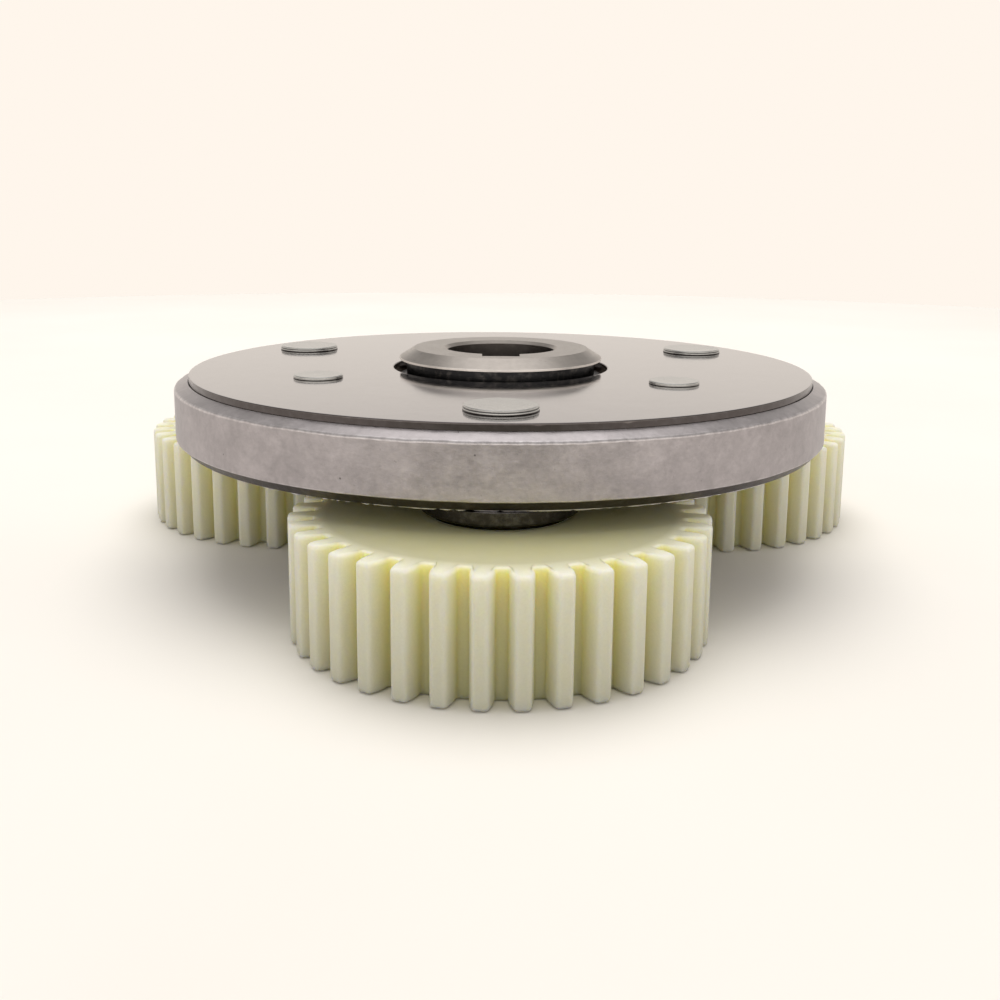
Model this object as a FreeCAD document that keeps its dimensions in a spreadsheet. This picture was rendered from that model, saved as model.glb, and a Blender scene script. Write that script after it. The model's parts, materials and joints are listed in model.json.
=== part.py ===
"""Planet carrier with a built-in one-way roller clutch: three nylon planet gears
turn on riveted pins under a steel disc, and the disc freewheels on a keyed hub.

Row frame: origin on the axle-bore axis, level with the underside of the bottom
cover plate, +Z towards the hub's cone, front planet at -Y.  Heights in the sheet
are counted from the underside of the gears, and every piece is set down by
gear_drop to reach the row frame.
"""
import FreeCAD, Part
import math
import os
import Sketcher
from FreeCAD import Placement, Rotation, Vector

os.makedirs("parts", exist_ok=True)
doc = FreeCAD.newDocument("planetary_gear_set")
sheet = doc.addObject("Spreadsheet::Sheet", "Dims")

SIZES = [
    # whole part
    ("gear_drop", 12.5, "bottom plate underside above the gears' underside"),
    ("planet_count", 3, "planets and pins"),
    ("planet_orbit", 27.43, "pin axis from the hub axis"),
    # planet gears, module 1
    ("gear_module", 1.0, ""),
    ("gear_teeth", 36, ""),
    ("gear_pressure_angle", 14.5, "degrees"),
    ("gear_tip_radius", 19.0, ""),
    ("gear_root_radius", 16.8, ""),
    ("gear_pitch_thickness", 1.833, "tooth thickness on the 36 mm circle"),
    ("gear_width", 10.85, "face width"),
    ("gear_clock", 5.52, "degrees, tooth centre from the outward line"),
    ("gear_bore_radius", 11.0, "bearing seat"),
    ("gear_lip_radius", 6.3, "web above the bearing"),
    ("gear_groove_radius", 11.5, "groove for the inner circlip"),
    ("gear_groove_low", 0.9, ""),
    ("gear_edge", 0.25, "broken edge at the bore mouth"),
    # ball bearing 8 x 22 x 7
    ("bearing_low", 2.0, "lower face"),
    ("bearing_width", 7.0, ""),
    ("bearing_outer_radius", 10.98, ""),
    ("bearing_bore_radius", 4.0, ""),
    ("bearing_outer_land", 9.3, ""),
    ("bearing_shield_seat", 9.85, ""),
    ("bearing_inner_land", 6.05, ""),
    ("bearing_pitch_radius", 7.5, "ball circle"),
    ("bearing_groove_radius", 2.04, "ball groove"),
    ("bearing_edge", 0.3, "corner chamfer"),
    ("ball_radius", 1.9845, ""),
    ("ball_count", 7, ""),
    ("cage_inner_radius", 6.8, ""),
    ("cage_outer_radius", 8.2, ""),
    ("cage_low", 2.9, ""),
    ("cage_high", 6.1, ""),
    ("cage_pocket_radius", 2.06, ""),
    ("shield_inner_radius", 6.3, ""),
    ("shield_thickness", 0.3, ""),
    ("shield_recess", 0.25, ""),
    # circlips
    ("bore_clip_thickness", 1.0, ""),
    ("bore_clip_low", 0.95, ""),
    ("bore_clip_outer", 11.45, ""),
    ("bore_clip_inner", 10.0, ""),
    ("shaft_clip_thickness", 0.8, ""),
    ("shaft_clip_low", 1.15, ""),
    ("shaft_clip_inner", 3.82, ""),
    ("shaft_clip_outer", 5.0, ""),
    # planet pins
    ("pin_end", 0.6, "lower end"),
    ("pin_radius", 3.99, "bearing journal"),
    ("pin_groove_radius", 3.8, ""),
    ("pin_groove_low", 1.1, ""),
    ("pin_spacer_radius", 5.8, "shoulder on the bearing inner ring"),
    ("pin_collar_radius", 7.3, ""),
    ("pin_collar_low", 11.25, ""),
    ("pin_shank_radius", 3.2, "through the plates and ring"),
    ("pin_head_radius", 3.43, "riveted head"),
    ("pin_head_height", 0.51, ""),
    ("pin_head_edge", 0.16, ""),
    ("pin_hole_radius", 3.23, ""),
    # cover plates
    ("bottom_plate_low", 12.5, ""),
    ("bottom_plate_high", 13.7, ""),
    ("bottom_plate_radius", 34.2, ""),
    ("top_plate_low", 18.9, ""),
    ("top_plate_high", 20.1, ""),
    ("top_plate_radius", 34.0, ""),
    ("plate_hole_radius", 11.97, ""),
    ("plate_edge", 0.08, "broken edge"),
    # outer race ring
    ("ring_radius", 35.49, ""),
    ("ring_race_radius", 16.5, ""),
    ("ring_low", 12.75, ""),
    ("ring_high", 19.42, ""),
    ("ring_side_low", 13.66, ""),
    ("ring_side_high", 18.78, ""),
    ("ring_low_radius", 34.62, "foot of the lower bevel"),
    ("ring_high_radius", 34.15, "top of the upper bevel"),
    ("ring_seat_gap", 0.04, "plate in its recess"),
    # small rivets
    ("rivet_orbit", 21.3, ""),
    ("rivet_angle", 56.61, "degrees past the nearest pin"),
    ("rivet_shank_radius", 1.5, ""),
    ("rivet_hole_radius", 1.53, ""),
    ("rivet_head_radius", 2.57, ""),
    ("rivet_head_height", 0.35, ""),
    ("rivet_foot_radius", 2.3, ""),
    ("rivet_foot_height", 0.3, ""),
    ("rivet_edge", 0.12, ""),
    # hub
    ("hub_low", 11.7, "underside of the spigot"),
    ("hub_spigot_radius", 8.2, "fits between the gears' tips"),
    ("hub_spigot_height", 0.5, ""),
    ("hub_high", 22.25, ""),
    ("hub_cone_low", 21.25, ""),
    ("hub_collar_radius", 11.3, ""),
    ("hub_neck_radius", 10.5, "undercut below the cone"),
    ("hub_neck_low", 19.2, ""),
    ("hub_neck_high", 21.05, ""),
    ("hub_cone_radius", 9.7, "top of the cone"),
    ("hub_bore_radius", 6.01, ""),
    ("hub_bore_edge", 0.35, "chamfer at the bore mouths"),
    ("hub_low_edge", 0.3, ""),
    ("key_width", 4.0, ""),
    ("key_depth", 1.8, ""),
    ("star_radius", 16.35, ""),
    ("star_low", 14.35, ""),
    ("star_high", 18.25, ""),
    # one-way clutch
    ("roller_count", 6, ""),
    ("roller_radius", 2.0, ""),
    ("roller_low", 14.4, ""),
    ("roller_length", 3.8, ""),
    ("roller_edge", 0.15, ""),
    ("roller_side", 1.52, "sideways from the pocket's middle line"),
    ("roller_reach", 14.39, "from the hub axis, square to the ramp"),
    ("ramp_reach", 12.37, ""),
    ("pocket_left", 1.9, ""),
    ("pocket_right", 4.0, ""),
    ("pocket_clock", 75.0, "degrees, first pocket"),
    ("spring_hole_radius", 1.0, ""),
    ("spring_hole_depth", 5.4, ""),
    ("spring_hole_reach", 13.9, ""),
    ("spring_middle", 16.3, "height of the spring holes"),
    ("plunger_radius", 0.95, ""),
    ("plunger_front", 0.5, ""),
    ("plunger_head", 0.9, ""),
    ("plunger_stem_radius", 0.5, ""),
    ("plunger_stem", 2.0, ""),
    ("spring_wire_radius", 0.15, ""),
    ("spring_mean_radius", 0.74, ""),
    ("spring_pitch", 0.6, ""),
    # bronze side rings
    ("bush_thickness", 0.6, ""),
    ("bush_inner_radius", 11.34, "runs on the hub collar"),
    ("bush_outer_radius", 16.47, ""),
    ("bush_low", 13.7, ""),
    ("bush_high", 18.3, ""),
]
for n, (alias, value, note) in enumerate(SIZES, start=1):
    sheet.set("A%d" % n, alias)
    sheet.set("B%d" % n, repr(value))
    sheet.set("C%d" % n, note)
    sheet.setAlias("B%d" % n, alias)
doc.recompute()


class Size:
    """A size with its number and the sheet expression that drives it."""

    def __init__(self, value, text=None):
        self.value = float(value)
        self.text = text if text is not None else repr(float(value))

    @staticmethod
    def of(x):
        return x if isinstance(x, Size) else Size(x)

    def __add__(self, o):
        o = Size.of(o)
        return Size(self.value + o.value, "(%s + %s)" % (self.text, o.text))

    __radd__ = __add__

    def __sub__(self, o):
        o = Size.of(o)
        return Size(self.value - o.value, "(%s - %s)" % (self.text, o.text))

    def __rsub__(self, o):
        return Size.of(o) - self

    def __mul__(self, o):
        o = Size.of(o)
        return Size(self.value * o.value, "(%s * %s)" % (self.text, o.text))

    __rmul__ = __mul__

    def __truediv__(self, o):
        o = Size.of(o)
        return Size(self.value / o.value, "(%s / %s)" % (self.text, o.text))

    def __neg__(self):
        return Size(-self.value, "(-(%s))" % self.text)


class Sheet:
    def __getattr__(self, name):
        return Size(getattr(sheet, name), "Dims." + name)


D = Sheet()
PARTS = []


def plane(body, role):
    return [o for o in body.Origin.OriginFeatures if o.Role == role][0]


def new_sketch(body, name, role):
    sk = body.newObject("Sketcher::SketchObject", name)
    sk.AttachmentSupport = [(plane(body, role), "")]
    sk.MapMode = "FlatFace"
    return sk


def pin_point(sk, geo, pos, x, y):
    """Fixes one point of a sketch at (x, y) from its origin, by the sheet."""
    for kind, size, axis in (("DistanceX", Size.of(x), -2), ("DistanceY", Size.of(y), -1)):
        if abs(size.value) < 1e-9:
            sk.addConstraint(Sketcher.Constraint("PointOnObject", geo, pos, axis))
        else:
            c = sk.addConstraint(Sketcher.Constraint(kind, -1, 1, geo, pos, size.value))
            if "Dims." in size.text:
                sk.setExpression("Constraints[%d]" % c, size.text)


def polygon(sk, points):
    points = [(Size.of(x), Size.of(y)) for x, y in points]
    base = sk.GeometryCount
    n = len(points)
    for i in range(n):
        a, b = points[i], points[(i + 1) % n]
        sk.addGeometry(Part.LineSegment(Vector(a[0].value, a[1].value, 0),
                                        Vector(b[0].value, b[1].value, 0)), False)
    for i in range(n):
        sk.addConstraint(Sketcher.Constraint("Coincident", base + i, 2, base + (i + 1) % n, 1))
    for i in range(n):
        pin_point(sk, base + i, 1, points[i][0], points[i][1])


def circle(sk, x, y, radius):
    x, y, radius = Size.of(x), Size.of(y), Size.of(radius)
    g = sk.addGeometry(Part.Circle(Vector(x.value, y.value, 0), Vector(0, 0, 1), radius.value), False)
    pin_point(sk, g, 3, x, y)
    c = sk.addConstraint(Sketcher.Constraint("Radius", g, radius.value))
    if "Dims." in radius.text:
        sk.setExpression("Constraints[%d]" % c, radius.text)


def place(obj, turn=None, x=None, y=None, z=None):
    """Sets a piece down in the row frame: turned about +Z by a number of degrees,
    then moved.  Each move is bound to the sheet."""
    if turn is not None:
        obj.Placement = Placement(Vector(0, 0, 0), Rotation(Vector(0, 0, 1), turn))
    for key, size in (("x", x), ("y", y), ("z", z if z is not None else -D.gear_drop)):
        if size is not None:
            obj.setExpression("Placement.Base." + key, Size.of(size).text)


def new_body(label):
    body = doc.addObject("PartDesign::Body", label)
    body.Label = label
    PARTS.append(body)
    return body


def turn_profile(body, points, name="profile"):
    """A turned blank: the closed profile (radius, height) spun about the body's Z."""
    sk = new_sketch(body, body.Name + "_" + name, "XZ_Plane")
    polygon(sk, points)
    spin = body.newObject("PartDesign::Revolution", body.Name + "_turned")
    spin.Profile = sk
    spin.ReferenceAxis = (sk, ["V_Axis"])
    spin.Angle = 360
    body.Tip = spin
    doc.recompute()
    return spin


def cut_through(body, sk, name, reverse, length=None):
    """A pocket from the sketch plane, through everything or to a depth; it has to
    take material away."""
    before = body.Shape.Volume
    p = body.newObject("PartDesign::Pocket", body.Name + "_" + name)
    p.Profile = sk
    p.Reversed = reverse
    if length is None:
        p.Type = 1
    else:
        p.Type = 0
        p.Length = Size.of(length).value
        p.setExpression("Length", Size.of(length).text)
    body.Tip = p
    doc.recompute()
    if not body.Shape.Volume < before - 1e-6:
        raise RuntimeError("%s cuts nothing" % p.Name)
    return p


def polar(body, features, name, count):
    before = body.Shape.Volume
    pat = body.newObject("PartDesign::PolarPattern", body.Name + "_" + name)
    pat.Originals = features
    pat.Axis = (plane(body, "Z_Axis"), [""])
    pat.Angle = 360
    pat.Occurrences = int(count.value)
    pat.setExpression("Occurrences", count.text)
    body.Tip = pat
    doc.recompute()
    if abs(body.Shape.Volume - before) < 1e-6:
        raise RuntimeError("%s adds nothing" % pat.Name)
    return pat


# ---------------------------------------------------------------- hub
hub = new_body("clutch_hub")
be = D.hub_bore_edge
turn_profile(hub, [
    (D.hub_bore_radius + be, D.hub_low),
    (D.hub_spigot_radius - D.hub_low_edge, D.hub_low),
    (D.hub_spigot_radius, D.hub_low + D.hub_low_edge),
    (D.hub_spigot_radius, D.hub_low + D.hub_spigot_height),
    (D.hub_collar_radius - D.hub_low_edge, D.hub_low + D.hub_spigot_height),
    (D.hub_collar_radius, D.hub_low + D.hub_spigot_height + D.hub_low_edge),
    (D.hub_collar_radius, D.star_low),
    (D.star_radius, D.star_low),
    (D.star_radius, D.star_high),
    (D.hub_collar_radius, D.star_high),
    (D.hub_collar_radius, D.hub_neck_low),
    (D.hub_neck_radius, D.hub_neck_low),
    (D.hub_neck_radius, D.hub_neck_high),
    (D.hub_collar_radius, D.hub_neck_high),
    (D.hub_collar_radius, D.hub_cone_low),
    (D.hub_cone_radius, D.hub_high),
    (D.hub_bore_radius + be, D.hub_high),
    (D.hub_bore_radius, D.hub_high - be),
    (D.hub_bore_radius, D.hub_low + be),
])
# Roller pockets: a flat ramp square to the pocket's middle line, with a straight
# wall each side, and a blind hole for the spring in the left wall.
sk = new_sketch(hub, "hub_pocket_sketch", "XY_Plane")
edge_out = D.star_radius + 1.0
polygon(sk, [(D.ramp_reach, -D.pocket_right), (edge_out, -D.pocket_right),
             (edge_out, D.pocket_left), (D.ramp_reach, D.pocket_left)])
pocket = cut_through(hub, sk, "roller_pocket", True)
sk = new_sketch(hub, "hub_spring_hole_sketch", "XZ_Plane")
circle(sk, D.spring_hole_reach, D.spring_middle, D.spring_hole_radius)
hole = cut_through(hub, sk, "spring_hole", False, D.spring_hole_depth)
polar(hub, [pocket, hole], "pockets", D.roller_count)
# Keyway, turned back so that it faces the front planet once the hub is clocked.
key_turn = -90.0 - sheet.pocket_clock
sk = new_sketch(hub, "hub_keyway_sketch", "XY_Plane")
c, s = math.cos(math.radians(key_turn)), math.sin(math.radians(key_turn))


def key_corner(along, across):
    return (along * c - across * s, along * s + across * c)


half, deep = D.key_width / 2.0, D.hub_bore_radius + D.key_depth
polygon(sk, [key_corner(Size(2.0), -half), key_corner(deep, -half),
             key_corner(deep, half), key_corner(Size(2.0), half)])
cut_through(hub, sk, "keyway", True)
place(hub, turn=sheet.pocket_clock)

# ---------------------------------------------------------------- carrier


def carrier_holes(body):
    """The holes for three pins and three rivets, first pin on the body's +X."""
    sk = new_sketch(body, body.Name + "_holes_sketch", "XY_Plane")
    circle(sk, D.planet_orbit, 0, D.pin_hole_radius)
    a = math.radians(sheet.rivet_angle)
    circle(sk, Size(0) + D.rivet_orbit * math.cos(a), D.rivet_orbit * math.sin(a), D.rivet_hole_radius)
    cut = cut_through(body, sk, "holes", True)
    polar(body, [cut], "hole_circle", D.planet_count)
    place(body, turn=-90.0)


ring = new_body("outer_race_ring")
turn_profile(ring, [
    (D.ring_race_radius, D.bottom_plate_high),
    (D.bottom_plate_radius + D.ring_seat_gap, D.bottom_plate_high),
    (D.bottom_plate_radius + D.ring_seat_gap, D.ring_low),
    (D.ring_low_radius, D.ring_low),
    (D.ring_radius, D.ring_side_low),
    (D.ring_radius, D.ring_side_high),
    (D.ring_high_radius, D.ring_high),
    (D.top_plate_radius + D.ring_seat_gap, D.ring_high),
    (D.top_plate_radius + D.ring_seat_gap, D.top_plate_low),
    (D.ring_race_radius, D.top_plate_low),
])
carrier_holes(ring)

for label, low, high, radius in (("bottom_cover_plate", D.bottom_plate_low, D.bottom_plate_high, D.bottom_plate_radius),
                                 ("top_cover_plate", D.top_plate_low, D.top_plate_high, D.top_plate_radius)):
    plate = new_body(label)
    e = D.plate_edge
    turn_profile(plate, [
        (D.plate_hole_radius + e, low), (radius - e, low), (radius, low + e), (radius, high - e),
        (radius - e, high), (D.plate_hole_radius + e, high), (D.plate_hole_radius, high - e),
        (D.plate_hole_radius, low + e),
    ])
    carrier_holes(plate)

for label, low in (("lower_bush", D.bush_low), ("upper_bush", D.bush_high)):
    bush = new_body(label)
    turn_profile(bush, [
        (D.bush_inner_radius, low), (D.bush_outer_radius, low),
        (D.bush_outer_radius, low + D.bush_thickness), (D.bush_inner_radius, low + D.bush_thickness),
    ])
    place(bush)

# Small rivets: three separate solids in one node, spaced a third of a turn apart.
rivet_profile = [
    (0, D.bottom_plate_low - D.rivet_foot_height),
    (D.rivet_foot_radius, D.bottom_plate_low - D.rivet_foot_height),
    (D.rivet_foot_radius, D.bottom_plate_low),
    (D.rivet_shank_radius, D.bottom_plate_low),
    (D.rivet_shank_radius, D.top_plate_high),
    (D.rivet_head_radius, D.top_plate_high),
    (D.rivet_head_radius, D.top_plate_high + D.rivet_head_height - D.rivet_edge),
    (D.rivet_head_radius - D.rivet_edge, D.top_plate_high + D.rivet_head_height),
    (0, D.top_plate_high + D.rivet_head_height),
]
one = doc.addObject("Part::Feature", "rivet_blank")
wire = Part.makePolygon([Vector(Size.of(r).value, 0, Size.of(h).value) for r, h in rivet_profile + rivet_profile[:1]])
one.Shape = Part.Face(wire).revolve(Vector(0, 0, 0), Vector(0, 0, 1), 360)
rivets = doc.addObject("Part::Feature", "cover_rivets")
rivets.Label = "cover_rivets"
solids = []
for i in range(sheet.planet_count):
    a = math.radians(-90.0 + sheet.rivet_angle + 360.0 * i / sheet.planet_count)
    s = one.Shape.copy()
    s.translate(Vector(sheet.rivet_orbit * math.cos(a), sheet.rivet_orbit * math.sin(a), 0))
    solids.append(s)
rivets.Shape = Part.makeCompound(solids)
rivets.Placement = Placement(Vector(0, 0, -sheet.gear_drop), Rotation())
PARTS.append(rivets)

# ---------------------------------------------------------------- one planet


def inv(a):
    return math.tan(a) - a


def tooth_space():
    """Edges of one space between two involute teeth, opening along +X."""
    teeth, mod = sheet.gear_teeth, sheet.gear_module
    pitch = teeth * mod / 2.0
    press = math.radians(sheet.gear_pressure_angle)
    base = pitch * math.cos(press)
    half_tooth = sheet.gear_pitch_thickness / (2 * pitch) + inv(press)

    def gap(r):
        a = math.acos(min(1.0, base / r)) if r > base else 0.0
        return math.pi / teeth - half_tooth + inv(a)

    def at(r, ang):
        return Vector(r * math.cos(ang), r * math.sin(ang), 0)

    top = sheet.gear_tip_radius + 0.4
    side = [base + (top - base) * k / 7.0 for k in range(8)]
    up = [at(r, gap(r)) for r in side]
    down = [at(r, -gap(r)) for r in side]
    fillet = sheet.gear_root_radius + 0.3
    g = gap(base)
    foot_up, foot_down = at(fillet, g), at(fillet, -g)
    rise = Part.BSplineCurve()
    rise.interpolate(up)
    fall = Part.BSplineCurve()
    fall.interpolate(down)
    root = sheet.gear_root_radius
    inner = g - 0.3 / root
    bend = 0.3 * (1 - math.sqrt(0.5))
    return [
        rise, Part.LineSegment(up[0], foot_up),
        Part.Arc(foot_up, at(root + bend, g - bend / root), at(root, inner)),
        Part.Arc(at(root, inner), at(root, 0.0), at(root, -inner)),
        Part.Arc(at(root, -inner), at(root + bend, -g + bend / root), foot_down),
        Part.LineSegment(foot_down, down[0]), fall, Part.LineSegment(down[-1], up[-1]),
    ]


def circlip(label, clip_in, clip_out, low, thickness, gap_half, lug_radius, lug_orbit, hole_radius):
    """A retaining ring of flat steel: open ring with two eyed lugs at its gap."""
    def post(name, radius, x=None, y=None):
        cyl = doc.addObject("Part::Cylinder", label + "_" + name)
        cyl.setExpression("Radius", Size.of(radius).text)
        cyl.setExpression("Height", thickness.text)
        if x is not None:
            cyl.Placement = Placement(Vector(x, y, 0), Rotation())
        return cyl

    def fuse(name, pieces):
        f = doc.addObject("Part::MultiFuse", label + "_" + name)
        f.Shapes = pieces
        return f

    def cut(name, a, b):
        k = doc.addObject("Part::Cut", label + "_" + name)
        k.Base, k.Tool = a, b
        return k

    band = cut("band", post("rim", clip_out), post("hollow", clip_in))
    gap = doc.addObject("Part::Box", label + "_gap")
    gap.Length, gap.Width = 20, 2 * gap_half
    gap.setExpression("Height", thickness.text)
    gap.Placement = Placement(Vector(0, -gap_half, 0), Rotation())
    open_band = cut("open", band, gap)
    off = gap_half + lug_radius * 0.8
    x = math.sqrt(lug_orbit ** 2 - off ** 2)
    lugs = [post("lug_left", lug_radius, x, off), post("lug_right", lug_radius, x, -off)]
    eyes = [post("eye_left", hole_radius, x, off), post("eye_right", hole_radius, x, -off)]
    clip = cut("clip", fuse("with_lugs", [open_band] + lugs), fuse("eyes", eyes))
    clip.Label = label
    PARTS.append(clip)
    return clip


def planet(i):
    ang = -90.0 + 120.0 * (i - 1)
    px = D.planet_orbit * math.cos(math.radians(ang))
    py = D.planet_orbit * math.sin(math.radians(ang))

    def here(obj, turn, z=None):
        place(obj, turn=turn, x=px, y=py, z=z)

    # nylon gear: turned blank, then the tooth spaces
    gear = new_body("planet_gear_%d" % i)
    e = D.gear_edge
    turn_profile(gear, [
        (D.gear_groove_radius - 0.4 + e, 0), (D.gear_tip_radius, 0), (D.gear_tip_radius, D.gear_width),
        (D.gear_lip_radius + e, D.gear_width), (D.gear_lip_radius, D.gear_width - e),
        (D.gear_lip_radius, D.bearing_low + D.bearing_width),
        (D.gear_bore_radius, D.bearing_low + D.bearing_width),
        (D.gear_bore_radius, D.bearing_low), (D.gear_groove_radius, D.bearing_low),
        (D.gear_groove_radius, D.gear_groove_low), (D.gear_groove_radius - 0.4, D.gear_groove_low),
        (D.gear_groove_radius - 0.4, e),
    ])
    sk = new_sketch(gear, gear.Name + "_space_sketch", "XY_Plane")
    sk.addGeometry(tooth_space(), False)
    space = cut_through(gear, sk, "space", True)
    polar(gear, [space], "teeth", D.gear_teeth)
    # a tooth space lies half a pitch past the tooth that gear_clock places
    here(gear, ang + sheet.gear_clock + 180.0 / sheet.gear_teeth)

    # ball bearing
    low, high = D.bearing_low, D.bearing_low + D.bearing_width
    e = D.bearing_edge
    mid = D.bearing_low + D.bearing_width / 2.0
    step = D.shield_recess + D.shield_thickness + 0.03
    outer = new_body("bearing_outer_ring_%d" % i)
    turn_profile(outer, [
        (D.bearing_shield_seat, low), (D.bearing_outer_radius - e, low), (D.bearing_outer_radius, low + e),
        (D.bearing_outer_radius, high - e), (D.bearing_outer_radius - e, high), (D.bearing_shield_seat, high),
        (D.bearing_shield_seat, high - step), (D.bearing_outer_land, high - step),
        (D.bearing_outer_land, low + step), (D.bearing_shield_seat, low + step),
    ])
    inner = new_body("bearing_inner_ring_%d" % i)
    turn_profile(inner, [
        (D.bearing_bore_radius + e, low), (D.bearing_inner_land, low), (D.bearing_inner_land, high),
        (D.bearing_bore_radius + e, high), (D.bearing_bore_radius, high - e), (D.bearing_bore_radius, low + e),
    ])
    for race in (outer, inner):
        before = race.Shape.Volume
        sk = new_sketch(race, race.Name + "_groove_sketch", "XZ_Plane")
        circle(sk, D.bearing_pitch_radius, mid, D.bearing_groove_radius)
        groove = race.newObject("PartDesign::Groove", race.Name + "_ball_groove")
        groove.Profile = sk
        groove.ReferenceAxis = (sk, ["V_Axis"])
        groove.Angle = 360
        race.Tip = groove
        doc.recompute()
        if not race.Shape.Volume < before - 1e-6:
            raise RuntimeError("ball groove cuts nothing")
        here(race, ang)

    balls = doc.addObject("Part::Feature", "bearing_balls_%d" % i)
    balls.Label = "bearing_balls_%d" % i
    spheres = []
    for k in range(sheet.ball_count):
        a = 2 * math.pi * k / sheet.ball_count
        spheres.append(Part.makeSphere(sheet.ball_radius, Vector(sheet.bearing_pitch_radius * math.cos(a),
                                                                  sheet.bearing_pitch_radius * math.sin(a), mid.value)))
    balls.Shape = Part.makeCompound(spheres)
    balls.Placement = Placement(Vector(px.value, py.value, -sheet.gear_drop), Rotation(Vector(0, 0, 1), ang))
    PARTS.append(balls)

    cage = new_body("ball_cage_%d" % i)
    turn_profile(cage, [
        (D.cage_inner_radius, D.cage_low), (D.cage_outer_radius, D.cage_low),
        (D.cage_outer_radius, D.cage_high), (D.cage_inner_radius, D.cage_high),
    ])
    sk = new_sketch(cage, cage.Name + "_pocket_sketch", "XZ_Plane")
    r = D.cage_pocket_radius
    sk.addGeometry(Part.ArcOfCircle(Part.Circle(Vector(D.bearing_pitch_radius.value, mid.value, 0), Vector(0, 0, 1),
                                                r.value), -math.pi / 2, math.pi / 2), False)
    sk.addGeometry(Part.LineSegment(Vector(D.bearing_pitch_radius.value, mid.value + r.value, 0),
                                    Vector(D.bearing_pitch_radius.value, mid.value - r.value, 0)), False)
    sk.addConstraint(Sketcher.Constraint("Coincident", 0, 2, 1, 1))
    sk.addConstraint(Sketcher.Constraint("Coincident", 0, 1, 1, 2))
    pin_point(sk, 0, 3, D.bearing_pitch_radius, mid)
    bowl = cage.newObject("PartDesign::Groove", cage.Name + "_pocket")
    bowl.Profile = sk
    bowl.ReferenceAxis = (sk, ["Edge2"])
    bowl.Angle = 360
    cage.Tip = bowl
    doc.recompute()
    polar(cage, [bowl], "pockets", D.ball_count)
    here(cage, ang)

    shields = doc.addObject("Part::Feature", "bearing_shields_%d" % i)
    shields.Label = "bearing_shields_%d" % i
    discs = []
    for z0 in (low.value + sheet.shield_recess, high.value - sheet.shield_recess - sheet.shield_thickness):
        disc = Part.makeCylinder(sheet.bearing_shield_seat, sheet.shield_thickness, Vector(0, 0, z0))
        discs.append(disc.cut(Part.makeCylinder(sheet.shield_inner_radius, sheet.shield_thickness, Vector(0, 0, z0))))
    shields.Shape = Part.makeCompound(discs)
    shields.Placement = Placement(Vector(px.value, py.value, -sheet.gear_drop), Rotation(Vector(0, 0, 1), ang))
    PARTS.append(shields)

    clip = circlip("gear_circlip_%d" % i, D.bore_clip_inner, D.bore_clip_outer, D.bore_clip_low,
                   D.bore_clip_thickness, 2.2, 1.25, 9.35, 0.7)
    here(clip, ang + 90.0, D.bore_clip_low - D.gear_drop)

    # stepped pin, riveted over the top plate
    pin = new_body("planet_pin_%d" % i)
    bearing_top = D.bearing_low + D.bearing_width
    head_top = D.top_plate_high + D.pin_head_height
    h = D.pin_head_edge
    turn_profile(pin, [
        (0, D.pin_end), (D.pin_groove_radius - 0.2, D.pin_end), (D.pin_radius, D.pin_end + 0.3),
        (D.pin_radius, D.pin_groove_low), (D.pin_groove_radius, D.pin_groove_low),
        (D.pin_groove_radius, D.bearing_low), (D.pin_radius, D.bearing_low),
        (D.pin_radius, bearing_top), (D.pin_spacer_radius, bearing_top),
        (D.pin_spacer_radius, D.pin_collar_low), (D.pin_collar_radius, D.pin_collar_low),
        (D.pin_collar_radius, D.bottom_plate_low), (D.pin_shank_radius, D.bottom_plate_low),
        (D.pin_shank_radius, D.top_plate_high), (D.pin_head_radius, D.top_plate_high),
        (D.pin_head_radius, head_top - h), (D.pin_head_radius - h, head_top), (0, head_top),
    ])
    here(pin, ang)

    clip = circlip("pin_circlip_%d" % i, D.shaft_clip_inner, D.shaft_clip_outer, D.shaft_clip_low,
                   D.shaft_clip_thickness, 0.8, 0.95, 5.2, 0.45)
    here(clip, ang - 90.0, D.shaft_clip_low - D.gear_drop)


for i in range(1, sheet.planet_count + 1):
    planet(i)

# ---------------------------------------------------------------- one-way clutch


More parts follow.
